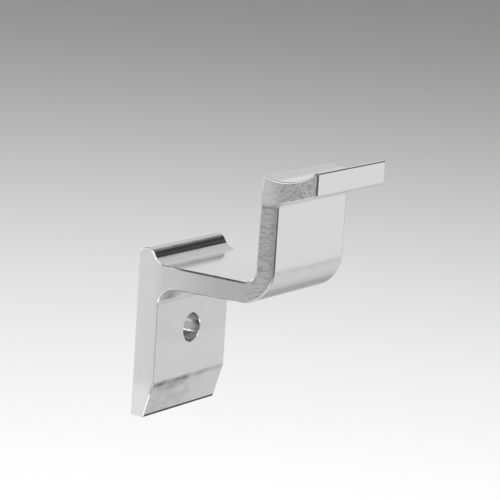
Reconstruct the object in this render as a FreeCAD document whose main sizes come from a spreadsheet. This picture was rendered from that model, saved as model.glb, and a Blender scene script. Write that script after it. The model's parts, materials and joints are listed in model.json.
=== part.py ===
"""Handrail bracket: one piece of extruded aluminium, sawn to length and drilled.

Frame: +X along the rail, +Y into the wall, +Z up. The origin is the centre of the
wall bolt hole on the plate's back face, so the bracket reaches out along -Y.
All sizes are in millimetres and degrees.
"""
import FreeCAD, Part
import math
import os

import Sketcher

os.makedirs("parts", exist_ok=True)
doc = FreeCAD.newDocument("handrail_bracket")

# Sizes
SIZES = [
    ("piece_length", 40.0, "sawn length along the rail"),
    ("plate_thick", 8.0, "wall plate between back face and front face"),
    ("plate_drop", 27.0, "bolt hole down to the plate's lower edge"),
    ("foot_thick", 4.6, "plate thickness left at the lower edge, under the bevel"),
    ("bevel_rise", 11.6, "height of the bevel on the plate's front"),
    ("arm_under", 15.8, "bolt hole up to the arm's underside at the plate"),
    ("arm_under_rise", 0.6, "how much the underside rises out to the upright"),
    ("arm_thick_root", 7.3, "arm thickness at the plate"),
    ("arm_thick_end", 6.4, "arm thickness at the upright"),
    ("upright_out", 50.2, "wall to the upright's outer face"),
    ("upright_thick_foot", 6.7, "upright thickness at the arm"),
    ("upright_thick_top", 6.2, "upright thickness at the cradle"),
    ("flange_angle", 18.0, "rise of the flange's underside, degrees"),
    ("rail_out", 50.5, "wall to the rail's centre line"),
    ("flange_past_rail", 13.0, "rail's centre line out to the flange's front face"),
    ("rail_up", 74.7, "bolt hole up to the rail's centre line"),
    ("cradle_radius", 19.0, "radius of the cradle the rail lies in"),
    ("flange_below", 26.4, "rail's centre line down to where the flange leaves the upright"),
    ("nose_out", 2.7, "wall to the centre of the ridge's rounded nose"),
    ("nose_up", 24.28, "bolt hole up to that centre"),
    ("nose_radius", 3.55, "radius of the nose"),
    ("front_slope", 62.0, "slope of the ridge's steep front, degrees"),
    ("ramp_slope", 34.0, "slope of the ramp below it, degrees"),
    ("ramp_out", 9.15, "wall to the ramp's foot on the arm"),
    ("crease_fillet", 1.5, "inside fillet between the steep front and the ramp"),
    ("ramp_fillet", 4.0, "inside fillet at the ramp's foot"),
    ("root_fillet", 6.0, "inside fillet between the plate and the arm"),
    ("bend_outer", 12.0, "outside radius of the bend"),
    ("bend_inner", 4.6, "inside radius of the bend"),
    ("flange_fillet", 1.2, "inside fillet under the flange"),
    ("tip_round", 1.0, "rounding of the flange's lower front edge"),
    ("ridge_round", 0.9, "rounding where the ridge meets the back face"),
    ("edge_round", 0.7, "rounding of the extrusion's other outer edges"),
    ("bevel_round", 1.5, "blend between the plate's front face and its bevel"),
    ("saw_break", 0.5, "edge break round the sawn ends"),
    ("bolt_hole", 9.2, "diameter of the wall bolt hole"),
    ("screw_hole", 5.5, "diameter of the rail screw holes"),
    ("screw_spacing", 22.0, "distance between the two rail screw holes"),
    ("mouth_break", 0.25, "edge break at the bolt hole's front mouth"),
]

sheet = doc.addObject("Spreadsheet::Sheet", "Sizes")
for row, (alias, value, note) in enumerate(SIZES, start=1):
    sheet.set("A%d" % row, alias)
    sheet.set("B%d" % row, str(value))
    sheet.set("C%d" % row, note)
    sheet.setAlias("B%d" % row, alias)
doc.recompute()
S = {alias: float(sheet.get(alias)) for alias, value, note in SIZES}

# Corner points of the section, as (Y, Z)
outer_y = -S["upright_out"]
tip_y = -S["rail_out"] - S["flange_past_rail"]
inner_top_y = outer_y + S["upright_thick_top"]
inner_foot_y = outer_y + S["upright_thick_foot"]
arm_end_z = S["arm_under"] + S["arm_under_rise"]


def cradle_z(y):
    """Height of the cradle's surface at a distance from the wall."""
    off = y + S["rail_out"]
    return S["rail_up"] - math.sqrt(S["cradle_radius"] ** 2 - off ** 2)


back_low = (0.0, -S["plate_drop"])
foot_low = (-S["foot_thick"], -S["plate_drop"])
bevel_top = (-S["plate_thick"], S["bevel_rise"] - S["plate_drop"])
arm_root = (-S["plate_thick"], S["arm_under"])
bend_low = (outer_y, arm_end_z)
flange_in = (outer_y, S["rail_up"] - S["flange_below"])
flange_rise = (outer_y - tip_y) * math.tan(math.radians(S["flange_angle"]))
tip_low = (tip_y, flange_in[1] + flange_rise)
tip_top = (tip_y, cradle_z(tip_y))
cradle_in = (inner_top_y, cradle_z(inner_top_y))
bend_top = (inner_foot_y, arm_end_z + S["arm_thick_end"])

# The ridge: the nose runs into a steep front, which stands on a ramp down to the arm's top
nose_c = (-S["nose_out"], S["nose_up"])
steep = math.radians(S["front_slope"])
ramp = math.radians(S["ramp_slope"])
blend = (nose_c[0] - S["nose_radius"] * math.sin(steep), nose_c[1] + S["nose_radius"] * math.cos(steep))
ramp_foot = (-S["ramp_out"], S["arm_under"] + S["arm_thick_root"])
rise = blend[1] - ramp_foot[1] - (blend[0] - ramp_foot[0]) * math.tan(ramp)
drop_y = rise / (math.tan(steep) - math.tan(ramp))
crease = (blend[0] - drop_y, blend[1] - drop_y * math.tan(steep))
back_z = nose_c[1] + math.sqrt(S["nose_radius"] ** 2 - S["nose_out"] ** 2)
back_high = (0.0, back_z)

# Body and section sketch
body = doc.addObject("PartDesign::Body", "handrail_bracket")
body.Label = "handrail_bracket"


def origin_plane(role):
    """One of the body's own origin planes."""
    for item in body.Origin.OriginFeatures:
        if item.Role == role:
            return item
    raise RuntimeError("no origin plane " + role)


def new_sketch(name, role):
    """An empty sketch that lies on one of the body's origin planes."""
    sketch = doc.addObject("Sketcher::SketchObject", name)
    body.addObject(sketch)
    sketch.AttachmentSupport = [(origin_plane(role), "")]
    sketch.MapMode = "FlatFace"
    return sketch


def vec(point):
    return FreeCAD.Vector(point[0], point[1], 0.0)


def angle_of(centre, point):
    return math.atan2(point[1] - centre[1], point[0] - centre[0])


section = new_sketch("Section", "YZ_Plane")
corners = [back_low, foot_low, bevel_top, arm_root, bend_low, flange_in, tip_low, tip_top]
for start, end in zip(corners[:-1], corners[1:]):
    section.addGeometry(Part.LineSegment(vec(start), vec(end)), False)
# Lines 0 to 6 are in; the cradle arc is 7, the upright 8, the arm's top 9,
# the ramp 10, the steep front 11, the nose 12 and the back face 13
rail_c = (-S["rail_out"], S["rail_up"])
cradle = Part.Circle(vec(rail_c), FreeCAD.Vector(0, 0, 1), S["cradle_radius"])
section.addGeometry(Part.ArcOfCircle(cradle, angle_of(rail_c, tip_top), angle_of(rail_c, cradle_in)), False)
section.addGeometry(Part.LineSegment(vec(cradle_in), vec(bend_top)), False)
section.addGeometry(Part.LineSegment(vec(bend_top), vec(ramp_foot)), False)
section.addGeometry(Part.LineSegment(vec(ramp_foot), vec(crease)), False)
section.addGeometry(Part.LineSegment(vec(crease), vec(blend)), False)
nose = Part.Circle(vec(nose_c), FreeCAD.Vector(0, 0, 1), S["nose_radius"])
section.addGeometry(Part.ArcOfCircle(nose, angle_of(nose_c, back_high), angle_of(nose_c, blend)), False)
section.addGeometry(Part.LineSegment(vec(back_high), vec(back_low)), False)

Rule = Sketcher.Constraint
for line in range(6):
    section.addConstraint(Rule("Coincident", line, 2, line + 1, 1))
section.addConstraint(Rule("Coincident", 6, 2, 7, 1))
section.addConstraint(Rule("Coincident", 7, 2, 8, 1))
section.addConstraint(Rule("Coincident", 8, 2, 9, 1))
section.addConstraint(Rule("Coincident", 9, 2, 10, 1))
section.addConstraint(Rule("Coincident", 10, 2, 11, 1))
section.addConstraint(Rule("Tangent", 11, 2, 12, 2))
section.addConstraint(Rule("Coincident", 12, 1, 13, 1))
section.addConstraint(Rule("Coincident", 13, 2, 0, 1))
section.addConstraint(Rule("PointOnObject", 0, 1, -2))
section.addConstraint(Rule("PointOnObject", 12, 1, -2))
section.addConstraint(Rule("Horizontal", 0))
section.addConstraint(Rule("Vertical", 2))
section.addConstraint(Rule("Vertical", 4))
section.addConstraint(Rule("Vertical", 6))


def size(sketch, name, alias, *where):
    """A named constraint whose value is one of the sheet's sizes."""
    index = sketch.addConstraint(Rule(*where))
    sketch.renameConstraint(index, name)
    sketch.setExpression("Constraints." + name, "Sizes." + alias)


size(section, "PlateDrop", "plate_drop", "DistanceY", 0, 1, -1, 1, S["plate_drop"])
size(section, "FootThick", "foot_thick", "DistanceX", 1, 1, 0, 1, S["foot_thick"])
size(section, "PlateThick", "plate_thick", "DistanceX", 2, 1, -1, 1, S["plate_thick"])
size(section, "BevelRise", "bevel_rise", "DistanceY", 1, 1, 2, 1, S["bevel_rise"])
size(section, "ArmUnder", "arm_under", "DistanceY", -1, 1, 3, 1, S["arm_under"])
size(section, "ArmUnderRise", "arm_under_rise", "DistanceY", 3, 1, 4, 1, S["arm_under_rise"])
size(section, "UprightOut", "upright_out", "DistanceX", 4, 1, -1, 1, S["upright_out"])
size(section, "RailOut", "rail_out", "DistanceX", 7, 3, -1, 1, S["rail_out"])
size(section, "FlangePastRail", "flange_past_rail", "DistanceX", 6, 1, 7, 3, S["flange_past_rail"])
size(section, "RailUp", "rail_up", "DistanceY", -1, 1, 7, 3, S["rail_up"])
size(section, "CradleRadius", "cradle_radius", "Radius", 7, S["cradle_radius"])
size(section, "FlangeBelow", "flange_below", "DistanceY", 5, 1, 7, 3, S["flange_below"])
size(section, "UprightTop", "upright_thick_top", "DistanceX", 5, 1, 8, 1, S["upright_thick_top"])
size(section, "UprightFoot", "upright_thick_foot", "DistanceX", 4, 1, 9, 1, S["upright_thick_foot"])
size(section, "ArmThickEnd", "arm_thick_end", "DistanceY", 4, 1, 9, 1, S["arm_thick_end"])
size(section, "ArmThickRoot", "arm_thick_root", "DistanceY", 3, 1, 9, 2, S["arm_thick_root"])
size(section, "RampOut", "ramp_out", "DistanceX", 10, 1, -1, 1, S["ramp_out"])
size(section, "NoseOut", "nose_out", "DistanceX", 12, 3, -1, 1, S["nose_out"])
size(section, "NoseUp", "nose_up", "DistanceY", -1, 1, 12, 3, S["nose_up"])
size(section, "NoseRadius", "nose_radius", "Radius", 12, S["nose_radius"])
tilt = section.addConstraint(Rule("Angle", 5, math.pi - math.radians(S["flange_angle"])))
section.renameConstraint(tilt, "FlangeAngle")
section.setExpression("Constraints.FlangeAngle", "(180 - Sizes.flange_angle) * 1 deg")
tilt = section.addConstraint(Rule("Angle", 10, ramp))
section.renameConstraint(tilt, "RampSlope")
section.setExpression("Constraints.RampSlope", "Sizes.ramp_slope * 1 deg")
tilt = section.addConstraint(Rule("Angle", 11, steep))
section.renameConstraint(tilt, "FrontSlope")
section.setExpression("Constraints.FrontSlope", "Sizes.front_slope * 1 deg")
doc.recompute()
print("section: solved", section.solve(), "free", section.FullyConstrained)

# The sawn length
pad = doc.addObject("PartDesign::Pad", "Extrusion")
body.addObject(pad)
pad.Profile = section
pad.SideType = "Symmetric"
pad.setExpression("Length", "Sizes.piece_length")
doc.recompute()


def long_edges(shape, point):
    """Names of the edges that run along X through a corner of the section."""
    names = []
    for number, edge in enumerate(shape.Edges, start=1):
        first = edge.Vertexes[0].Point
        last = edge.Vertexes[-1].Point
        same_y = abs(first.y - point[0]) < 0.02 and abs(last.y - point[0]) < 0.02
        same_z = abs(first.z - point[1]) < 0.02 and abs(last.z - point[1]) < 0.02
        if same_y and same_z and abs(first.x - last.x) > 1.0:
            names.append("Edge%d" % number)
    return names


def round_off(name, base, points, alias):
    """Round the long edges through the given corners."""
    names = []
    for point in points:
        found = long_edges(base.Shape, point)
        if not found:
            raise RuntimeError("%s: no edge at %.2f, %.2f" % (name, point[0], point[1]))
        names += found
    fillet = doc.addObject("PartDesign::Fillet", name)
    body.addObject(fillet)
    fillet.Base = (base, names)
    fillet.setExpression("Radius", "Sizes." + alias)
    doc.recompute()
    return fillet


# Roundings of the extruded section
step = round_off("RootFillet", pad, [arm_root], "root_fillet")
step = round_off("BendOutside", step, [bend_low], "bend_outer")
step = round_off("BendInside", step, [bend_top], "bend_inner")
step = round_off("FlangeFillet", step, [flange_in], "flange_fillet")
step = round_off("CreaseFillet", step, [crease], "crease_fillet")
step = round_off("RampFillet", step, [ramp_foot], "ramp_fillet")
step = round_off("TipRound", step, [tip_low], "tip_round")
step = round_off("RidgeRound", step, [back_high], "ridge_round")
step = round_off("BevelRound", step, [bevel_top], "bevel_round")
step = round_off("EdgeRound", step, [back_low, foot_low, tip_top, cradle_in], "edge_round")

# Edge break round both sawn ends
end_x = S["piece_length"] / 2.0
rim = []
for number, edge in enumerate(step.Shape.Edges, start=1):
    box = edge.BoundBox
    if box.XLength < 0.01 and abs(abs(box.XMin) - end_x) < 0.01:
        rim.append("Edge%d" % number)
saw_edge = doc.addObject("PartDesign::Chamfer", "SawEdge")
body.addObject(saw_edge)
saw_edge.Base = (step, rim)
saw_edge.setExpression("Size", "Sizes.saw_break")
doc.recompute()


def drill(name, sketch, alias, centres):
    """Circles of one diameter in a sketch, and a pocket through everything."""
    for number, centre in enumerate(centres):
        ring = Part.Circle(vec(centre), FreeCAD.Vector(0, 0, 1), S[alias] / 2.0)
        index = sketch.addGeometry(ring, False)
        size(sketch, "Diameter%d" % number, alias, "Diameter", index, S[alias])
    pocket = doc.addObject("PartDesign::Pocket", name)
    body.addObject(pocket)
    pocket.Profile = sketch
    pocket.Type = "ThroughAll"
    return pocket


# Wall bolt hole, square to the plate
bolt_sketch = new_sketch("BoltCircle", "XZ_Plane")
bolt = drill("BoltHole", bolt_sketch, "bolt_hole", [(0.0, 0.0)])
bolt_sketch.addConstraint(Rule("Coincident", 0, 3, -1, 1))
bolt.SideType = "Symmetric"
doc.recompute()

# Edge break at the bolt hole's front mouth
mouths = []
for number, edge in enumerate(bolt.Shape.Edges, start=1):
    curve = edge.Curve
    if not isinstance(curve, Part.Circle) or abs(curve.Radius - S["bolt_hole"] / 2.0) > 0.01:
        continue
    if abs(curve.Center.y + S["plate_thick"]) < 0.01 and abs(curve.Center.z) < 0.01:
        mouths.append("Edge%d" % number)
mouth = doc.addObject("PartDesign::Chamfer", "BoltHoleMouth")
body.addObject(mouth)
mouth.Base = (bolt, mouths)
mouth.setExpression("Size", "Sizes.mouth_break")
doc.recompute()

# Rail screw holes, square to the flange's underside and aimed at the rail's centre
screw_sketch = new_sketch("ScrewCircles", "XY_Plane")
tipped = FreeCAD.Rotation(FreeCAD.Vector(1, 0, 0), -S["flange_angle"])
middle = FreeCAD.Vector(0.0, -S["rail_out"], S["rail_up"])
screw_sketch.AttachmentOffset = FreeCAD.Placement(middle, tipped)
screw_sketch.setExpression("AttachmentOffset.Base.y", "-Sizes.rail_out * 1 mm")
screw_sketch.setExpression("AttachmentOffset.Base.z", "Sizes.rail_up * 1 mm")
screw_sketch.setExpression("AttachmentOffset.Rotation.Angle", "-Sizes.flange_angle * 1 deg")
half = S["screw_spacing"] / 2.0
screws = drill("ScrewHoles", screw_sketch, "screw_hole", [(-half, 0.0), (half, 0.0)])
screw_sketch.addConstraint(Rule("PointOnObject", 0, 3, -1))
screw_sketch.addConstraint(Rule("Symmetric", 0, 3, 1, 3, -1, 1))
size(screw_sketch, "Spacing", "screw_spacing", "DistanceX", 0, 3, 1, 3, S["screw_spacing"])
doc.recompute()

# Checks and export
for item in doc.Objects:
    if "Invalid" in item.State or "Error" in item.State:
        raise RuntimeError("failed feature: " + item.Name)
if mouth.Shape.Volume - screws.Shape.Volume < 150.0:
    raise RuntimeError("the screw holes miss the flange")
if saw_edge.Shape.Volume - bolt.Shape.Volume < 400.0:
    raise RuntimeError("the bolt hole misses the plate")
if not body.Shape.isValid() or len(body.Shape.Solids) != 1:
    raise RuntimeError("the bracket isn't one sound solid")
body.Shape.exportStep("parts/handrail_bracket.step")

bounds = body.Shape.BoundBox
print("volume %.0f mm3" % body.Shape.Volume)
print("X %.2f %.2f" % (bounds.XMin, bounds.XMax))
print("Y %.2f %.2f" % (bounds.YMin, bounds.YMax))
print("Z %.2f %.2f" % (bounds.ZMin, bounds.ZMax))
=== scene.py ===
"""Looks of a handrail bracket that is sawn from an aluminium extrusion and drilled.

The file is laid out as an add-on and run as a script. Lengths are in metres, in the
bracket's own frame: +X along the extrusion, +Y into the wall, +Z up, with the origin at
the wall bolt hole's centre on the plate's back face.
"""

import json
import math

import bmesh
import bpy
from bpy.props import FloatProperty, FloatVectorProperty, PointerProperty, StringProperty
from mathutils import Matrix, Vector


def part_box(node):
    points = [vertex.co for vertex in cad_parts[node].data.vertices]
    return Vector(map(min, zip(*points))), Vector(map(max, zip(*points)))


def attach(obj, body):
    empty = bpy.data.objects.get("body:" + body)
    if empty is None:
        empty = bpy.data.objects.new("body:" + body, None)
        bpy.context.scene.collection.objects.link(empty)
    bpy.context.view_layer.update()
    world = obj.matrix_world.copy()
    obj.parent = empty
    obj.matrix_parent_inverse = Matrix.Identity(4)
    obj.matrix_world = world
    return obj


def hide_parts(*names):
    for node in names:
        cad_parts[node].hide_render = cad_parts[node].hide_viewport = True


bl_info = {
    "name": "Handrail bracket",
    "version": (1, 0, 0),
    "blender": (4, 5, 0),
    "location": "3D View > Sidebar > Bracket",
    "description": "Models and finishes a sawn and drilled aluminium handrail bracket",
    "category": "Object",
}

NODE = "handrail_bracket"
MM = 0.001

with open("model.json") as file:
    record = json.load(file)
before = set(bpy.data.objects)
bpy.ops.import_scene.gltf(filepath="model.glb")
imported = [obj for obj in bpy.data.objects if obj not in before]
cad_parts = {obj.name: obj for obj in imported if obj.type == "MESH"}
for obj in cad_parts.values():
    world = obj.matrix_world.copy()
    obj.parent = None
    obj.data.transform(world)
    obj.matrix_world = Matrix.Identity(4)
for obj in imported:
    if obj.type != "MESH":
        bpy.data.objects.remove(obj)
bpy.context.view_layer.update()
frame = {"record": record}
LOW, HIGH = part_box(NODE)
MOUNTS = {mount["name"]: mount for mount in frame["record"]["mounts"]}


# Properties

def length(name, description, default):
    """A length property, its default given in millimetres."""
    return FloatProperty(
        name=name, description=description, default=default * MM,
        min=0.0, precision=5, subtype="DISTANCE", unit="LENGTH",
    )


def angle(name, description, default):
    """An angle property, its default given in degrees."""
    return FloatProperty(
        name=name, description=description, default=math.radians(default),
        precision=4, subtype="ANGLE", unit="ROTATION",
    )


def tone(name, description, default):
    """A colour property, its default given as an sRGB hex value."""
    return StringProperty(name=name, description=description, default=default)


class BracketSizes(bpy.types.PropertyGroup):
    """Driving dimensions of the extruded section and of what is cut into it."""

    plate_thick: length("Plate", "Wall plate between its back and front faces", 8.0)
    foot_thick: length("Foot", "Plate thickness left at the lower edge", 4.6)
    bevel_rise: length("Bevel rise", "Height of the bevel on the plate's front", 11.6)
    arm_under: length("Arm underside", "Bolt hole up to the arm's underside at the plate", 15.8)
    arm_under_rise: length("Underside rise", "Rise of the underside out to the upright", 0.6)
    arm_thick_root: length("Arm at plate", "Arm thickness at the plate", 7.3)
    arm_thick_end: length("Arm at bend", "Arm thickness at the upright", 6.4)
    upright_out: length("Upright out", "Wall to the upright's outer face", 50.2)
    upright_thick_foot: length("Upright foot", "Upright thickness at the arm", 6.7)
    upright_thick_top: length("Upright top", "Upright thickness at the cradle", 6.2)
    flange_below: length("Flange below", "Cradle's centre line down to the flange's root", 26.4)
    flange_angle: angle("Flange angle", "Rise of the flange's underside", 18.0)
    cradle_out: length("Cradle out", "Wall to the cradle's centre line", 50.5)
    cradle_up: length("Cradle up", "Bolt hole up to the cradle's centre line", 74.7)
    cradle_radius: length("Cradle radius", "Radius of the cradle", 19.0)
    nose_out: length("Nose out", "Wall to the centre of the ridge's nose", 2.7)
    nose_up: length("Nose up", "Bolt hole up to the centre of the ridge's nose", 24.28)
    nose_radius: length("Nose radius", "Radius of the ridge's nose", 3.55)
    front_slope: angle("Front slope", "Slope of the ridge's steep front", 62.0)
    ramp_slope: angle("Ramp slope", "Slope of the ramp below the steep front", 34.0)
    ramp_out: length("Ramp out", "Wall to the ramp's foot on the arm", 9.15)
    crease_fillet: length("Crease fillet", "Inside fillet between the steep front and the ramp", 1.5)
    ramp_fillet: length("Ramp fillet", "Inside fillet at the ramp's foot", 4.0)
    root_fillet: length("Root fillet", "Inside fillet between plate and arm", 6.0)
    bend_outer: length("Bend outside", "Outside radius of the bend", 12.0)
    bend_inner: length("Bend inside", "Inside radius of the bend", 4.6)
    flange_fillet: length("Flange fillet", "Inside fillet under the flange", 1.2)
    tip_round: length("Tip round", "Rounding of the flange's lower front edge", 1.0)
    ridge_round: length("Ridge round", "Rounding where the ridge meets the back face", 0.9)
    edge_round: length("Edge round", "Rounding of the section's other outer edges", 0.7)
    bevel_round: length("Bevel blend", "Blend between the plate's front face and its bevel", 1.5)
    saw_break: length("Saw break", "Edge break round the sawn ends", 0.5)
    mouth_break: length("Mouth break", "Edge break at the bolt hole's front mouth", 0.25)
    step: angle("Facet", "Turn between two facets of a rounding", 3.0)


class BracketFinish(bpy.types.PropertyGroup):
    """Colours of the metal and of the stage, as sRGB hex values."""

    drawn: tone("Extruded", "Face as it left the die", "#F0F0F0")
    # Painted shade: a dark tone mixed into the metal where shade and dark reflections are painted on it
    painted_shade: tone("Painted shade", "Shade and dark reflections painted on the metal", "#404040")
    sawn: tone("Sawn", "Sawn and tumbled end", "#E2E2E2")
    scored: tone("Scored", "Painted shade and the bottom of the saw's scores", "#969696")
    bored: tone("Bored", "Wall of a drilled hole", "#B8B8B8")
    broken: tone("Broken edge", "Bright edge break", "#F2F2F2")
    floor: tone("Floor", "Plain pale floor", "#888888")


class BracketStage(bpy.types.PropertyGroup):
    """Camera, lamp and floor."""

    aim: FloatVectorProperty(
        name="Aim", description="Point in the middle of the picture",
        default=(0.0144, -0.0190, 0.0251), subtype="TRANSLATION", unit="LENGTH", precision=5,
    )
    distance: length("Distance", "Camera to the aim", 850.0)
    azimuth: angle("Azimuth", "Camera's turn round the bracket", -57.406)
    elevation: angle("Elevation", "Camera's height above the horizon", 11.175)
    roll: angle("Roll", "Camera's turn about its own axis", 3.66)
    lens: FloatProperty(
        name="Lens", description="Focal length in millimetres on a 36 mm sensor", default=190.8, min=1.0,
    )
    lamp_place: FloatVectorProperty(
        name="Lamp", description="Centre of the lamp", default=(0.66, 0.39, 2.6),
        subtype="TRANSLATION", unit="LENGTH",
    )
    lamp_side: length("Lamp side", "Side of the square lamp", 1200.0)
    lamp_power: FloatProperty(
        name="Lamp power", description="Power of the lamp", default=376.0, min=0.0,
        subtype="POWER", unit="POWER",
    )
    floor_drop: length("Floor drop", "Bolt hole down to the floor", 500.0)
    floor_half: length("Floor reach", "Half the floor's side", 14000.0)


# Drawing the section

# A share that only stands for rounding errors
SLIGHT = 0.001


def run(bm, tip, point):
    """A straight run from the path's last vertex to a point (Y, Z)."""
    made = bmesh.ops.extrude_vert_indiv(bm, verts=[tip])
    end = made["verts"][0]
    end.co.y, end.co.z = point
    return end


def bearing(centre, point):
    """The direction from a centre (Y, Z) to a point (Y, Z), as an angle from +Y towards +Z."""
    return math.atan2(point[1] - centre[1], point[0] - centre[0])


def turn(bm, tip, centre, point, step):
    """An arc round a centre (Y, Z) from the path's last vertex to a point (Y, Z)."""
    swing = bearing(centre, point) - bearing(centre, (tip.co.y, tip.co.z))
    swing = (swing + math.pi) % math.tau - math.pi
    made = bmesh.ops.spin(
        bm, geom=[tip], cent=(tip.co.x, centre[0], centre[1]), axis=(1.0, 0.0, 0.0),
        angle=swing, steps=max(2, math.ceil(abs(swing) / step)),
    )
    return made["geom_last"][0]


def draw_section(bm, sizes):
    """The section's closed face on the first sawn end. It gives back the corners still to be rounded."""
    outer_y = -sizes.upright_out
    tip_y = LOW.y
    inner_top_y = outer_y + sizes.upright_thick_top
    inner_foot_y = outer_y + sizes.upright_thick_foot
    arm_end_z = sizes.arm_under + sizes.arm_under_rise
    back_low = (0.0, LOW.z)
    foot_low = (-sizes.foot_thick, LOW.z)
    bevel_top = (-sizes.plate_thick, LOW.z + sizes.bevel_rise)
    arm_root = (-sizes.plate_thick, sizes.arm_under)
    bend_low = (outer_y, arm_end_z)
    flange_in = (outer_y, sizes.cradle_up - sizes.flange_below)
    tip_low = (tip_y, flange_in[1] + (outer_y - tip_y) * math.tan(sizes.flange_angle))
    bend_top = (inner_foot_y, arm_end_z + sizes.arm_thick_end)

    # The centres of the cradle and of the rounding at each side of it
    cradle = (-sizes.cradle_out, sizes.cradle_up)
    reach = sizes.cradle_radius + sizes.edge_round
    lips = []
    for lip_y in (tip_y + sizes.edge_round, inner_top_y - sizes.edge_round):
        lips.append((lip_y, cradle[1] - math.sqrt(reach ** 2 - (lip_y - cradle[0]) ** 2)))
    front_lip, back_lip = lips

    # The ridge: a ramp up from the arm to a crease, a steep front up to the nose, and the nose's top
    steep = math.tan(sizes.front_slope)
    gentle = math.tan(sizes.ramp_slope)
    ramp_foot = (-sizes.ramp_out, sizes.arm_under + sizes.arm_thick_root)
    nose = (-sizes.nose_out, sizes.nose_up)
    front_top = (
        nose[0] - sizes.nose_radius * math.sin(sizes.front_slope),
        nose[1] + sizes.nose_radius * math.cos(sizes.front_slope),
    )
    rise = front_top[1] - ramp_foot[1] - (front_top[0] - ramp_foot[0]) * gentle
    front_run = rise / (steep - gentle)
    crease = (front_top[0] - front_run, front_top[1] - front_run * steep)
    inside = sizes.nose_radius - sizes.ridge_round
    ridge_y = -sizes.ridge_round
    ridge = (ridge_y, nose[1] + math.sqrt(inside ** 2 - (ridge_y - nose[0]) ** 2))

    first = bm.verts.new((LOW.x, *back_low))
    tip = first
    for corner in (foot_low, bevel_top, arm_root, bend_low, flange_in, tip_low, (tip_y, front_lip[1])):
        tip = run(bm, tip, corner)
    tip = turn(bm, tip, front_lip, cradle, sizes.step)
    tip = turn(bm, tip, cradle, back_lip, sizes.step)
    tip = turn(bm, tip, back_lip, (back_lip[0] + sizes.edge_round, back_lip[1]), sizes.step)
    for corner in (bend_top, ramp_foot, crease, front_top):
        tip = run(bm, tip, corner)
    tip = turn(bm, tip, nose, ridge, sizes.step)
    tip = turn(bm, tip, ridge, (0.0, ridge[1]), sizes.step)
    bmesh.ops.contextual_create(bm, geom=[tip, first])
    bmesh.ops.contextual_create(bm, geom=bm.edges[:])
    return [
        (back_low, sizes.edge_round),
        (foot_low, sizes.edge_round),
        (bevel_top, sizes.bevel_round),
        (arm_root, sizes.root_fillet),
        (bend_low, sizes.bend_outer),
        (bend_top, sizes.bend_inner),
        (flange_in, sizes.flange_fillet),
        (tip_low, sizes.tip_round),
        (crease, sizes.crease_fillet),
        (ramp_foot, sizes.ramp_fillet),
    ]


def round_corner(bm, corner, radius, step):
    """Rounds the long edge through a corner (Y, Z) of the section."""
    near = radius * SLIGHT
    edges = []
    for edge in bm.edges:
        ends = [vert.co for vert in edge.verts]
        along = abs(ends[0].x - ends[1].x) > near
        if along and all(math.hypot(co.y - corner[0], co.z - corner[1]) < near for co in ends):
            edges.append(edge)
    bend = edges[0].calc_face_angle()
    bmesh.ops.bevel(
        bm, geom=edges, offset=radius * math.tan(bend / 2.0), offset_type="OFFSET", affect="EDGES",
        segments=max(2, math.ceil(bend / step)), profile=0.5, material=-1, clamp_overlap=False,
    )


def break_ends(bm, width):
    """Breaks the edges round both sawn ends."""
    rim = []
    for edge in bm.edges:
        levels = [vert.co.x for vert in edge.verts]
        if max(levels) < LOW.x + width / 2.0 or min(levels) > HIGH.x - width / 2.0:
            rim.append(edge)
    bmesh.ops.bevel(
        bm, geom=rim, offset=width, offset_type="OFFSET", affect="EDGES",
        segments=3, profile=0.5, material=-1, clamp_overlap=False,
    )


def extrusion(sizes):
    """The section drawn out to the bracket's length, with its edges rounded."""
    bm = bmesh.new()
    corners = draw_section(bm, sizes)
    made = bmesh.ops.extrude_face_region(bm, geom=bm.faces[:])
    moved = [item for item in made["geom"] if isinstance(item, bmesh.types.BMVert)]
    bmesh.ops.translate(bm, verts=moved, vec=(HIGH.x - LOW.x, 0.0, 0.0))
    bmesh.ops.recalc_face_normals(bm, faces=bm.faces[:])
    for corner, radius in corners:
        round_corner(bm, corner, radius, sizes.step)
    break_ends(bm, sizes.saw_break)
    return bm


# Objects

def new_object(name, bm, materials=()):
    """An object at the origin that holds a bmesh, which is then freed."""
    mesh = bpy.data.meshes.new(name)
    bm.to_mesh(mesh)
    bm.free()
    for material in materials:
        mesh.materials.append(material)
    piece = bpy.data.objects.new(name, mesh)
    bpy.context.scene.collection.objects.link(piece)
    return piece


# Drilling

# How far each drill cuts to either side of its mount's point, in millimetres
DRILLS = {"wall_bolt": 20.0, "rail_screw_left": 12.0, "rail_screw_right": 12.0}
HOLE_FACETS = 96


def bore_radius(mount):
    """A bore mount's radius in metres."""
    return mount["dims"]["r_mm"] * MM


def drill_bit(mount, reach):
    """A round bar along a bore mount's axis, to be cut out."""
    radius = bore_radius(mount)
    along_axis = Vector(mount["axis"]).to_track_quat("Z", "Y").to_matrix().to_4x4()
    bm = bmesh.new()
    bmesh.ops.create_cone(
        bm, cap_ends=True, segments=HOLE_FACETS, radius1=radius, radius2=radius, depth=2.0 * reach,
        matrix=Matrix.Translation(Vector(mount["pos_m"])) @ along_axis,
    )
    return new_object("drill_bit", bm)


def countersink(mount, sizes):
    """The small cone that breaks the bolt hole's edge in the plate's front face, at 45 degrees."""
    radius = bore_radius(mount)
    width = sizes.mouth_break
    towards_wall = Matrix.Rotation(-math.pi / 2.0, 4, "X")
    bm = bmesh.new()
    bmesh.ops.create_cone(
        bm, cap_ends=True, segments=HOLE_FACETS, radius1=radius + 2.0 * width, radius2=radius - width,
        depth=3.0 * width,
        matrix=Matrix.Translation((0.0, -sizes.plate_thick + 0.5 * width, 0.0)) @ towards_wall,
    )
    return new_object("countersink", bm)


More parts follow.
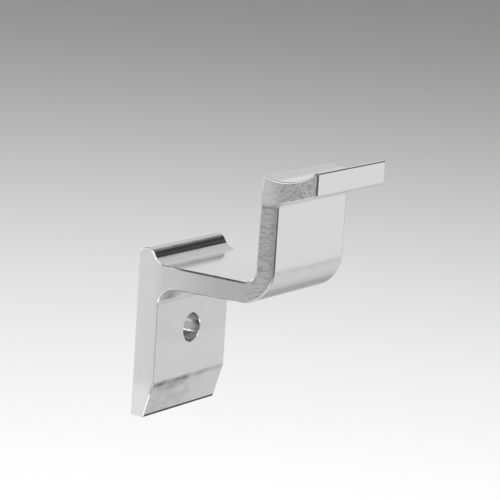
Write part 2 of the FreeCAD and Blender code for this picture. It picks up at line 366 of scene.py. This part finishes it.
def carve(solid, tools):
    """Cuts the tools out of a solid. Its mesh becomes the result, and the tools are removed."""
    for tool in tools:
        cut = solid.modifiers.new("Cut", "BOOLEAN")
        cut.object = tool
        cut.operation = "DIFFERENCE"
        cut.solver = "EXACT"
    graph = bpy.context.evaluated_depsgraph_get()
    carved = bpy.data.meshes.new_from_object(solid.evaluated_get(graph))
    solid.modifiers.clear()
    whole = solid.data
    solid.data = carved
    bpy.data.meshes.remove(whole)
    for tool in tools:
        shape = tool.data
        bpy.data.objects.remove(tool)
        bpy.data.meshes.remove(shape)


# Material nodes

# A Mix node's sockets go by number, since its names repeat: the factor, and for each kind of value
# the two inputs and the output
FACTOR = 0
NUMBER_A, NUMBER_B, NUMBER_OUT = 2, 3, 0
COLOUR_A, COLOUR_B, COLOUR_OUT = 6, 7, 2

# Most of a noise texture lies between these levels
NOISE_LOW = 0.35
NOISE_HIGH = 0.65


def linear(value):
    """An sRGB hex value as a linear colour."""
    colour = []
    for place in (1, 3, 5):
        part = int(value[place:place + 2], 16) / 255.0
        colour.append(part / 12.92 if part <= 0.04045 else ((part + 0.055) / 1.055) ** 2.4)
    return (*colour, 1.0)


def per_metre(millimetres):
    """Texture scale whose cells have that size."""
    return 1.0 / (millimetres * MM)


def add(tree, kind, inputs=None, **settings):
    """Adds a node with its settings. Each of its inputs is a socket to link or a value to set."""
    node = tree.nodes.new(kind)
    for name, value in settings.items():
        setattr(node, name, value)
    for key, value in (inputs or {}).items():
        socket = node.inputs[key]
        if isinstance(value, bpy.types.NodeSocket):
            tree.links.new(value, socket)
        else:
            socket.default_value = value
    return node


def new_material(name):
    """A material with an empty node tree."""
    material = bpy.data.materials.new(name)
    material.use_nodes = True
    material.node_tree.nodes.clear()
    return material, material.node_tree


def over(value, span):
    """Inputs for a Map Range that changes over a span (start, end) in millimetres."""
    start, end = span
    return {"Value": value, "From Min": start * MM, "From Max": end * MM}


def away_from(tree, value, middle):
    """How far a value is from a middle, on either side."""
    off = add(tree, "ShaderNodeMath", {0: value, 1: middle}, operation="SUBTRACT")
    return add(tree, "ShaderNodeMath", {0: off.outputs[0]}, operation="ABSOLUTE").outputs[0]


def patch_cover(tree, axes, patch_noise, spans, strength, patchy):
    """How strongly one patch shows at a place: full inside its spans, faded at their ends, and uneven. The
    patches paint shade, and also mark where edges are rubbed.
    """
    cover = add(
        tree, "ShaderNodeMapRange",
        {
            "Value": patch_noise, "From Min": NOISE_LOW, "From Max": NOISE_HIGH,
            "To Min": strength * (1.0 - patchy), "To Max": strength * (1.0 + patchy),
        },
    )
    for axis, (low, high, fade) in spans.items():
        off = away_from(tree, axes.outputs[axis], (low + high) / 2.0 * MM)
        half = (high - low) / 2.0
        inside = add(
            tree, "ShaderNodeMapRange",
            over(off, (half - fade / 2.0, half + fade / 2.0)) | {"To Min": 1.0, "To Max": 0.0},
            interpolation_type="SMOOTHSTEP",
        )
        cover = add(
            tree, "ShaderNodeMath", {0: cover.outputs[0], 1: inside.outputs[0]}, operation="MULTIPLY",
        )
    return cover.outputs[0]


def with_patches(tree, axes, patch_noise, patches, base):
    """A base level with all of a table's patches added to it, up to 1."""
    level = base
    for spans, strength, patchy in patches.values():
        cover = patch_cover(tree, axes, patch_noise, spans, strength, patchy)
        total = add(tree, "ShaderNodeMath", {0: level, 1: cover}, operation="ADD", use_clamp=True)
        level = total.outputs[0]
    return level


# Where shade is painted on the metal, and where it is marked or rubbed, in millimetres

# Past every face of the bracket, for a span with an open end
FAR = 90.0

# The plate's front face and its bevel, which leaves out the back face
FRONT = (-9.0, -3.0, 1.0)

# Painted shade and painted dark reflections on the drawn faces, as spans (from, to, fade) along the axes,
# strength and patchiness
PAINTED_SHADE_PATCHES = {
    "plate front": ({"Y": FRONT, "Z": (-FAR, 13.0, 4.0)}, 0.10, 0.1),
    "plate front's upper half": ({"Y": (-9.0, -7.0, 1.0), "Z": (-3.0, 13.0, 6.0)}, 0.045, 0.2),
    "bevel": ({"X": (-FAR, 6.0, 16.0), "Y": FRONT, "Z": (-FAR, -15.6, 1.0)}, 0.12, 0.6),
    "bevel's upper end": ({"X": (-FAR, 20.0, 8.0), "Y": FRONT, "Z": (-16.8, -15.2, 1.2)}, 0.22, 0.45),
    "below that": ({"X": (-FAR, 2.0, 20.0), "Y": FRONT, "Z": (-18.8, -15.4, 2.0)}, 0.12, 0.4),
    "foot's lower edge": ({"Y": (-9.0, -3.4, 0.8), "Z": (-FAR, -26.1, 0.4)}, 1.0, 0.0),
    "ramp's foot": ({"X": (-FAR, 9.0, 5.0), "Y": (-16.6, -13.4, 1.2), "Z": (20.0, 24.5, 1.0)}, 0.07, 0.3),
    "nose": ({"Y": (-5.2, -4.6, 0.3), "Z": (26.0, FAR, 1.0)}, 0.6, 0.2),
    "crease": ({"Y": (-7.1, -6.0, 0.8), "Z": (20.0, FAR, 1.0)}, 0.15, 1.0),
    "arm's near edge": (
        {"X": (-FAR, -19.1, 0.5), "Y": (-36.0, -21.0, 12.0), "Z": (20.0, 24.5, 1.0)}, 0.7, 0.4,
    ),
    "bend's outside": ({"Y": (-51.0, -43.0, 3.0), "Z": (15.0, 28.0, 4.0)}, 0.07, 0.3),
    "root fillet": ({"X": (-FAR, -10.0, 9.0), "Y": (-12.5, -8.1, 0.6), "Z": (11.4, 19.0, 1.0)}, 0.33, 0.5),
}

# The same for the broken edges: painted shade and painted dark reflections that draw their dark lines
EDGE_PAINTED_SHADE_PATCHES = {
    "arm's top": ({"Y": (-41.0, -14.5, 8.0), "Z": (21.0, 25.0, 1.0)}, 0.9, 0.05),
    "ramp's foot": ({"Y": (-12.0, -8.6, 1.0), "Z": (21.0, FAR, 1.0)}, 0.3, 0.1),
    "arm's underside": ({"Y": (-42.0, -14.0, 6.0), "Z": (14.0, 17.6, 0.6)}, 0.5, 0.2),
    "upright's back": ({"Y": (-46.0, -41.0, 0.6), "Z": (28.0, 52.0, 4.0)}, 0.35, 0.2),
    "upright's front": ({"Y": (-60.0, -49.0, 0.8), "Z": (22.0, 48.6, 2.0)}, 0.6, 0.1),
    "flange's tip": ({"Y": (-FAR, -62.0, 0.6), "Z": (53.0, FAR, 1.0)}, 0.75, 0.0),
    "bevel's upper end": ({"Y": (-9.0, -5.0, 0.6), "Z": (-19.0, -15.5, 1.6)}, 0.6, 0.2),
}

# Where the broken edges are rubbed dull: the strength is how much rougher
RUBBED = {
    "plate's front": ({"Y": (-9.0, -7.0, 0.6), "Z": (-15.2, 10.0, 1.0)}, 0.3, 0.0),
    "upright's back": ({"Y": (-46.0, -41.0, 0.6), "Z": (26.0, FAR, 2.0)}, 0.3, 0.0),
}

# Painted shade on the sawn face, darker from the plate outwards: axis, span (start, end) and amount, which
# is negative where the face is painted lighter
SAWN_PAINTED_SHADE = {
    "plate's front": ("Y", (-5.0, -11.0), 0.21),
    "along the arm": ("Y", (-11.0, -33.0), 0.32),
    "above the bend": ("Z", (24.0, 31.0), 0.07),
    "upright's top painted lighter": ("Z", (47.4, 48.6), -0.32),
    "past the upright": ("Y", (-46.5, -51.5), 0.34),
    "flange's tip painted lighter": ("Y", (-55.0, -61.0), -0.1),
}

# Spans (start, end) of other changes on the sawn face: scores and pits set in outwards, scores calm down
# upwards, and the plate's foot is painted lighter downwards, as painted light
SCORED = (-37.0, -46.0)
PITTED = (-46.0, -53.0)
CALMER = (47.4, 48.6)
PAINTED_LIGHT_FOOT = (-13.0, -20.0)

# The deep score's height, and how far from that it fades
DEEP_SCORE = 47.1
DEEP_SCORE_FADE = (0.1, 0.4)


# Materials

def drawn_aluminium(finish):
    """Extruded aluminium, drawn through a polished die."""
    material, tree = new_material("extruded_aluminium_die_drawn")
    place = add(tree, "ShaderNodeTexCoord").outputs["Object"]
    axes = add(tree, "ShaderNodeSeparateXYZ", {"Vector": place})
    # To the eye it is a bright mirror. Die lines run the length of the extrusion and streak it a little.
    stretched = add(tree, "ShaderNodeMapping", {"Vector": place, "Scale": (0.015, 1.0, 1.0)})
    lines = add(
        tree, "ShaderNodeTexNoise", {"Vector": stretched.outputs[0], "Scale": per_metre(0.6), "Detail": 2.0},
    )
    bump = add(
        tree, "ShaderNodeBump", {"Height": lines.outputs["Fac"], "Strength": 0.1, "Distance": 0.02 * MM},
    )
    # Painted shade and painted dark reflections: the metal is darkened and dulled in patches, uneven in
    # blotches a few millimetres long that are stretched along the extrusion
    along_extrusion = add(tree, "ShaderNodeMapping", {"Vector": place, "Scale": (0.45, 1.0, 1.0)})
    patch_noise = add(
        tree, "ShaderNodeTexNoise", {"Vector": along_extrusion.outputs[0], "Scale": per_metre(2.6), "Detail": 3.0},
    )
    painted_shade_cover = with_patches(tree, axes, patch_noise.outputs["Fac"], PAINTED_SHADE_PATCHES, 0.0)
    colour = add(
        tree, "ShaderNodeMix",
        {FACTOR: painted_shade_cover, COLOUR_A: linear(finish.drawn), COLOUR_B: linear(finish.painted_shade)},
        data_type="RGBA",
    )
    rough = add(tree, "ShaderNodeMapRange", {"Value": painted_shade_cover, "To Min": 0.12, "To Max": 0.3})
    shader = add(
        tree, "ShaderNodeBsdfPrincipled",
        {
            "Base Color": colour.outputs[COLOUR_OUT], "Metallic": 1.0,
            "Roughness": rough.outputs[0], "Normal": bump.outputs[0],
        },
    )
    add(tree, "ShaderNodeOutputMaterial", {"Surface": shader.outputs["BSDF"]})
    return material


def saw_painted_shade(tree, axes):
    """How much painted shade darkens the sawn face, from the plate outwards."""
    darkening = 0.0
    for axis, span, amount in SAWN_PAINTED_SHADE.values():
        step = add(
            tree, "ShaderNodeMapRange", over(axes.outputs[axis], span) | {"To Max": amount},
            interpolation_type="SMOOTHSTEP",
        )
        darkening = add(tree, "ShaderNodeMath", {0: darkening, 1: step.outputs[0]}, operation="ADD").outputs[0]
    return darkening


def saw_scores(tree, place):
    """The scores that the blade's teeth leave: short, along Y, close together and never quite straight."""
    wander = add(tree, "ShaderNodeTexNoise", {"Vector": place, "Scale": per_metre(9.0), "Detail": 2.0})
    bent = add(
        tree, "ShaderNodeVectorMath",
        {0: wander.outputs["Color"], 1: (2.0 * MM, 2.0 * MM, 2.0 * MM), 2: place},
        operation="MULTIPLY_ADD",
    )
    stretched = add(
        tree, "ShaderNodeMapping",
        {"Vector": bent.outputs[0], "Rotation": (math.radians(-6.0), 0.0, 0.0), "Scale": (1.0, 7.0, 1.0)},
        vector_type="TEXTURE",
    )
    scores = add(
        tree, "ShaderNodeTexNoise",
        {"Vector": stretched.outputs[0], "Scale": per_metre(0.38), "Detail": 2.0},
    )
    return scores.outputs["Fac"]


def saw_marks(tree, place, axes, scores):
    """How dark the sawn face's scores and pits are."""
    scored = add(tree, "ShaderNodeMapRange", {"Value": scores, "From Min": 0.5, "From Max": 0.63})
    calm = add(tree, "ShaderNodeMapRange", over(axes.outputs["Z"], CALMER) | {"To Min": 1.0, "To Max": 0.4})
    scored = add(tree, "ShaderNodeMath", {0: scored.outputs[0], 1: calm.outputs[0]}, operation="MULTIPLY")
    # The flange is pitted instead, by pits drawn a little wider than they are so that they show
    pits = add(tree, "ShaderNodeTexNoise", {"Vector": place, "Scale": per_metre(0.6), "Detail": 1.0})
    pitted = add(
        tree, "ShaderNodeMapRange", {"Value": pits.outputs["Fac"], "From Min": 0.53, "From Max": 0.62},
    )
    on_flange = add(tree, "ShaderNodeMapRange", over(axes.outputs["Y"], PITTED))
    marks = add(
        tree, "ShaderNodeMix",
        {FACTOR: on_flange.outputs[0], NUMBER_A: scored.outputs[0], NUMBER_B: pitted.outputs[0]},
        data_type="FLOAT",
    )
    # One deep score crosses the upright near its top, where the cut paused
    beside = away_from(tree, axes.outputs["Z"], DEEP_SCORE * MM)
    deep = add(tree, "ShaderNodeMapRange", over(beside, DEEP_SCORE_FADE) | {"To Min": 1.6, "To Max": 0.0})
    marks = add(
        tree, "ShaderNodeMath", {0: marks.outputs[NUMBER_OUT], 1: deep.outputs[0]}, operation="MAXIMUM",
    )
    return marks.outputs[0]


def sawn_aluminium(finish):
    """Circular-sawn aluminium, tumbled."""
    material, tree = new_material("sawn_aluminium_tumbled")
    place = add(tree, "ShaderNodeTexCoord").outputs["Object"]
    axes = add(tree, "ShaderNodeSeparateXYZ", {"Vector": place})
    # To the eye it is plain satin at the plate. Outwards it darkens with painted shade, and with the scores
    # and pits that the blade left, which also roughen it
    scores = saw_scores(tree, place)
    marks = saw_marks(tree, place, axes, scores)
    darkening = saw_painted_shade(tree, axes)
    scoring = add(tree, "ShaderNodeMapRange", over(axes.outputs["Y"], SCORED) | {"To Max": 0.46})
    marks = add(tree, "ShaderNodeMath", {0: marks, 1: scoring.outputs[0]}, operation="MULTIPLY")
    darkening = add(tree, "ShaderNodeMath", {0: darkening, 1: marks.outputs[0]}, operation="ADD", use_clamp=True)
    # The scored tone paints the shade and fills the scores and pits
    colour = add(
        tree, "ShaderNodeMix",
        {FACTOR: darkening.outputs[0], COLOUR_A: linear(finish.sawn), COLOUR_B: linear(finish.scored)},
        data_type="RGBA",
    )
    # Painted light: the plate's foot is painted lighter downwards, up to as bright as an edge break
    foot = add(
        tree, "ShaderNodeMapRange", over(axes.outputs["Z"], PAINTED_LIGHT_FOOT), interpolation_type="SMOOTHSTEP",
    )
    colour = add(
        tree, "ShaderNodeMix",
        {FACTOR: foot.outputs[0], COLOUR_A: colour.outputs[COLOUR_OUT], COLOUR_B: linear(finish.broken)},
        data_type="RGBA",
    )
    bump = add(
        tree, "ShaderNodeBump", {"Height": scores, "Strength": scoring.outputs[0], "Distance": 0.06 * MM},
    )
    shader = add(
        tree, "ShaderNodeBsdfPrincipled",
        {
            "Base Color": colour.outputs[COLOUR_OUT], "Metallic": 1.0,
            "Roughness": 0.38, "Normal": bump.outputs[0],
        },
    )
    add(tree, "ShaderNodeOutputMaterial", {"Surface": shader.outputs["BSDF"]})
    return material


def bored_aluminium(finish):
    """Drilled aluminium."""
    material, tree = new_material("drilled_aluminium")
    place = add(tree, "ShaderNodeTexCoord").outputs["Object"]
    # To the eye it is darker than the faces, with fine rings that the drill leaves round the bolt hole
    squeezed = add(tree, "ShaderNodeMapping", {"Vector": place, "Scale": (0.08, 1.0, 0.08)})
    rings = add(
        tree, "ShaderNodeTexNoise", {"Vector": squeezed.outputs[0], "Scale": per_metre(0.8), "Detail": 2.0},
    )
    bump = add(
        tree, "ShaderNodeBump", {"Height": rings.outputs["Fac"], "Strength": 0.5, "Distance": 0.08 * MM},
    )
    shader = add(
        tree, "ShaderNodeBsdfPrincipled",
        {"Base Color": linear(finish.bored), "Metallic": 1.0, "Roughness": 0.2, "Normal": bump.outputs[0]},
    )
    add(tree, "ShaderNodeOutputMaterial", {"Surface": shader.outputs["BSDF"]})
    return material


def broken_edge(finish):
    """Edge break on aluminium, tumbled."""
    material, tree = new_material("tumbled_edge_aluminium")
    place = add(tree, "ShaderNodeTexCoord").outputs["Object"]
    axes = add(tree, "ShaderNodeSeparateXYZ", {"Vector": place})
    patch_noise = add(tree, "ShaderNodeTexNoise", {"Vector": place, "Scale": per_metre(2.6), "Detail": 3.0})
    # To the eye it is a bright line. Painted shade and painted dark reflections darken it in places, and
    # elsewhere it is rubbed dull
    painted_shade_cover = with_patches(tree, axes, patch_noise.outputs["Fac"], EDGE_PAINTED_SHADE_PATCHES, 0.0)
    rough = with_patches(tree, axes, patch_noise.outputs["Fac"], RUBBED, 0.13)
    colour = add(
        tree, "ShaderNodeMix",
        {FACTOR: painted_shade_cover, COLOUR_A: linear(finish.broken), COLOUR_B: linear(finish.painted_shade)},
        data_type="RGBA",
    )
    shader = add(
        tree, "ShaderNodeBsdfPrincipled",
        {"Base Color": colour.outputs[COLOUR_OUT], "Metallic": 1.0, "Roughness": rough},
    )
    add(tree, "ShaderNodeOutputMaterial", {"Surface": shader.outputs["BSDF"]})
    return material


def matt_paper(finish):
    """Uncoated paper, rolled."""
    material, tree = new_material("floor_matt_paper")
    # To the eye it is one plain tone without a shine
    shader = add(tree, "ShaderNodeBsdfPrincipled", {"Base Color": linear(finish.floor), "Roughness": 0.9})
    add(tree, "ShaderNodeOutputMaterial", {"Surface": shader.outputs["BSDF"]})
    return material


# The piece

DRAWN, SAWN, BORED, BROKEN = range(4)

# A face is a bore's wall if its normal leans less than this towards the bore's axis
WALL_LEAN = 0.2

# Two faces that turn further than this meet in a crisp edge
CRISP = math.radians(38.0)


def from_axis(mount, point):
    """A point's distance from a bore mount's axis."""
    offset = point - Vector(mount["pos_m"])
    return offset.cross(Vector(mount["axis"]).normalized()).length


def surface_of(face, saw_break):
    """Which finish a face of the cut piece has."""
    centre = face.calc_center_median()
    for name in DRILLS:
        mount = MOUNTS[name]
        if from_axis(mount, centre) < bore_radius(mount) * (1.0 + SLIGHT):
            if abs(face.normal.dot(Vector(mount["axis"]))) < WALL_LEAN:
                return BORED
    # Depth below the nearer sawn end, with a fiftieth of the edge break's width to spare
    depth = HIGH.x - abs(centre.x)
    spare = saw_break / 50.0
    if depth < spare:
        return SAWN
    if depth < saw_break - spare:
        return BROKEN
    return DRAWN


def sort_surfaces(mesh, saw_break):
    """Gives each face its finish, smooths the faces and keeps the crisp edges."""
    bm = bmesh.new()
    bm.from_mesh(mesh)
    for face in bm.faces:
        face.smooth = True
        face.material_index = surface_of(face, saw_break)
    for edge in bm.edges:
        edge.smooth = edge.calc_face_angle(0.0) < CRISP
    bm.to_mesh(mesh)
    bm.free()


class BRACKET_OT_body(bpy.types.Operator):
    """Model the bracket's one piece and give each kind of surface its finish"""

    bl_idname = "bracket.body"
    bl_label = "Bracket body"

    def execute(self, context):
        sizes = context.scene.bracket_sizes
        finish = context.scene.bracket_finish
        # In the order of DRAWN, SAWN, BORED and BROKEN
        kinds = (drawn_aluminium, sawn_aluminium, bored_aluminium, broken_edge)
        piece = new_object("bracket_body", extrusion(sizes), [kind(finish) for kind in kinds])
        bits = [drill_bit(MOUNTS[name], reach * MM) for name, reach in DRILLS.items()]
        bits.append(countersink(MOUNTS["wall_bolt"], sizes))
        carve(piece, bits)
        sort_surfaces(piece.data, sizes.saw_break)
        normals = piece.modifiers.new("Flat faces lead", "WEIGHTED_NORMAL")
        normals.keep_sharp = True
        normals.weight = 100
        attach(piece, "root")
        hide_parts(NODE)
        return {"FINISHED"}


# The stage

# The camera sensor's width in millimetres
SENSOR_WIDTH = 36.0

# The studio's brightness, and the cards that are hung in it: azimuth from +Y towards +X, elevation,
# half width and half height in degrees, and the card's own brightness
STUDIO_LEVEL = 0.62
CARDS = {
    "ceiling": (0.0, 90.0, 38.0, 38.0, 0.5),
    "table": (0.0, -90.0, 38.0, 38.0, 0.6),
    "front_fill": (127.0, -5.0, 27.0, 11.0, 0.77),
    "low_shade": (72.0, -29.0, 14.0, 7.0, 0.42),
    "bevel_fill": (112.0, -27.0, 11.0, 7.0, 0.7),
    "back_fill": (42.0, 5.0, 26.0, 9.0, 0.785),
    "ramp_fill": (87.0, 36.0, 12.0, 8.0, 0.58),
    "black_flag": (112.0, 26.0, 15.0, 9.5, 0.04),
    "side_fill": (-57.0, -8.0, 36.0, 30.0, 0.83),
    "over_shade": (2.0, 53.0, 34.0, 10.0, 0.2),
    "side_strip": (-49.5, 35.5, 8.0, 2.2, 4.4),
    "bore_strip": (25.0, -54.0, 5.0, 3.5, 3.0),
    "bore_fill": (-50.0, -32.0, 8.0, 7.0, 1.35),
    "back_strip": (-12.0, 12.0, 16.0, 4.0, 3.0),
    "dark_room": (-147.0, -6.0, 50.0, 17.0, 0.3),
    "low_strip": (-147.0, -38.0, 20.0, 9.0, 1.7),
    "key": (-130.0, 45.0, 26.0, 24.0, 1.3),
    "key_centre": (-128.0, 43.0, 9.0, 14.0, 3.2),
}

# A card's edge is blurred by this many degrees to each side, or by this share of a small card's half size
CARD_BLUR = 4.0
CARD_BLUR_SHARE = 0.4


def lay_floor(stage, finish):
    """A plain pale floor, which the metal doesn't mirror: it mirrors the table card."""
    bm = bmesh.new()
    bmesh.ops.create_grid(
        bm, x_segments=1, y_segments=1, size=stage.floor_half,
        matrix=Matrix.Translation((0.0, 0.0, -stage.floor_drop)),
    )
    floor = new_object("floor", bm, [matt_paper(finish)])
    floor.visible_glossy = False


def hang_lamp(scene, stage):
    """A square soft lamp that shines straight down, which the metal doesn't mirror."""
    data = bpy.data.lights.new("top_softbox", "AREA")
    data.shape = "SQUARE"
    data.size = stage.lamp_side
    data.energy = stage.lamp_power
    lamp = bpy.data.objects.new("top_softbox", data)
    lamp.location = stage.lamp_place
    lamp.visible_glossy = False
    scene.collection.objects.link(lamp)


def hang_card(tree, rays, base, azimuth, elevation, half_width, half_height, level):
    """The studio's brightness with one soft-edged card hung in it."""
    turned = add(
        tree, "ShaderNodeVectorRotate",
        {"Vector": rays, "Rotation": (math.radians(elevation), 0.0, math.radians(-azimuth))},
        rotation_type="EULER_XYZ", invert=True,
    )
    axes = add(tree, "ShaderNodeSeparateXYZ", {"Vector": turned.outputs[0]})
    across = add(tree, "ShaderNodeMath", {0: axes.outputs["X"], 1: axes.outputs["Y"]}, operation="ARCTAN2")
    upward = add(tree, "ShaderNodeMath", {0: axes.outputs["Z"]}, operation="ARCSINE")
    cover = 1.0
    for turned_by, half in ((across, half_width), (upward, half_height)):
        off = add(tree, "ShaderNodeMath", {0: turned_by.outputs[0]}, operation="ABSOLUTE")
        blur = min(CARD_BLUR, half * CARD_BLUR_SHARE)
        inside = add(
            tree, "ShaderNodeMapRange",
            {
                "Value": off.outputs[0], "To Min": 1.0, "To Max": 0.0,
                "From Min": math.radians(half - blur), "From Max": math.radians(half + blur),
            },
            interpolation_type="SMOOTHSTEP",
        )
        both = add(tree, "ShaderNodeMath", {0: cover, 1: inside.outputs[0]}, operation="MULTIPLY")
        cover = both.outputs[0]
    lit = add(tree, "ShaderNodeMix", {FACTOR: cover, NUMBER_A: base, NUMBER_B: level}, data_type="FLOAT")
    return lit.outputs[NUMBER_OUT]


def build_studio(scene):
    """A pale studio all round, hung with the cards that the metal mirrors."""
    world = bpy.data.worlds.new("studio")
    scene.world = world
    world.use_nodes = True
    tree = world.node_tree
    tree.nodes.clear()
    rays = add(tree, "ShaderNodeTexCoord").outputs["Generated"]
    level = STUDIO_LEVEL
    for card in CARDS.values():
        level = hang_card(tree, rays, level, *card)
    ambient = add(tree, "ShaderNodeBackground", {"Color": level})
    add(tree, "ShaderNodeOutputWorld", {"Surface": ambient.outputs["Background"]})
    scene.view_settings.view_transform = "Standard"


def place_camera(scene, stage):
    """The camera at the photograph's viewing angle."""
    back = Vector((
        math.sin(stage.azimuth) * math.cos(stage.elevation),
        -math.cos(stage.azimuth) * math.cos(stage.elevation),
        math.sin(stage.elevation),
    ))
    data = bpy.data.cameras.new("camera")
    data.lens = stage.lens
    data.sensor_width = SENSOR_WIDTH
    camera = bpy.data.objects.new("camera", data)
    scene.collection.objects.link(camera)
    upright = (-back).to_track_quat("-Z", "Y").to_matrix().to_4x4()
    place = Matrix.Translation(Vector(stage.aim) + back * stage.distance)
    camera.matrix_world = place @ upright @ Matrix.Rotation(stage.roll, 4, "Z")
    scene.camera = camera


class BRACKET_OT_stage(bpy.types.Operator):
    """Set up the floor, the lights and the camera"""

    bl_idname = "bracket.stage"
    bl_label = "Stage"

    def execute(self, context):
        scene = context.scene
        stage = scene.bracket_stage
        lay_floor(stage, scene.bracket_finish)
        hang_lamp(scene, stage)
        build_studio(scene)
        place_camera(scene, stage)
        return {"FINISHED"}


# The add-on

class BRACKET_PT_panel(bpy.types.Panel):
    """The steps that make the bracket, in order"""

    bl_label = "Handrail bracket"
    bl_idname = "BRACKET_PT_panel"
    bl_space_type = "VIEW_3D"
    bl_region_type = "UI"
    bl_category = "Bracket"

    def draw(self, context):
        column = self.layout.column(align=True)
        for operator in (BRACKET_OT_body, BRACKET_OT_stage):
            column.operator(operator.bl_idname)


CLASSES = (BracketSizes, BracketFinish, BracketStage, BRACKET_OT_body, BRACKET_OT_stage, BRACKET_PT_panel)


def register():
    for item in CLASSES:
        bpy.utils.register_class(item)
    bpy.types.Scene.bracket_sizes = PointerProperty(type=BracketSizes)
    bpy.types.Scene.bracket_finish = PointerProperty(type=BracketFinish)
    bpy.types.Scene.bracket_stage = PointerProperty(type=BracketStage)


def unregister():
    del bpy.types.Scene.bracket_stage
    del bpy.types.Scene.bracket_finish
    del bpy.types.Scene.bracket_sizes
    for item in reversed(CLASSES):
        bpy.utils.unregister_class(item)


def main():
    register()
    bpy.ops.bracket.body()
    bpy.ops.bracket.stage()


if __name__ == "__main__":
    main()
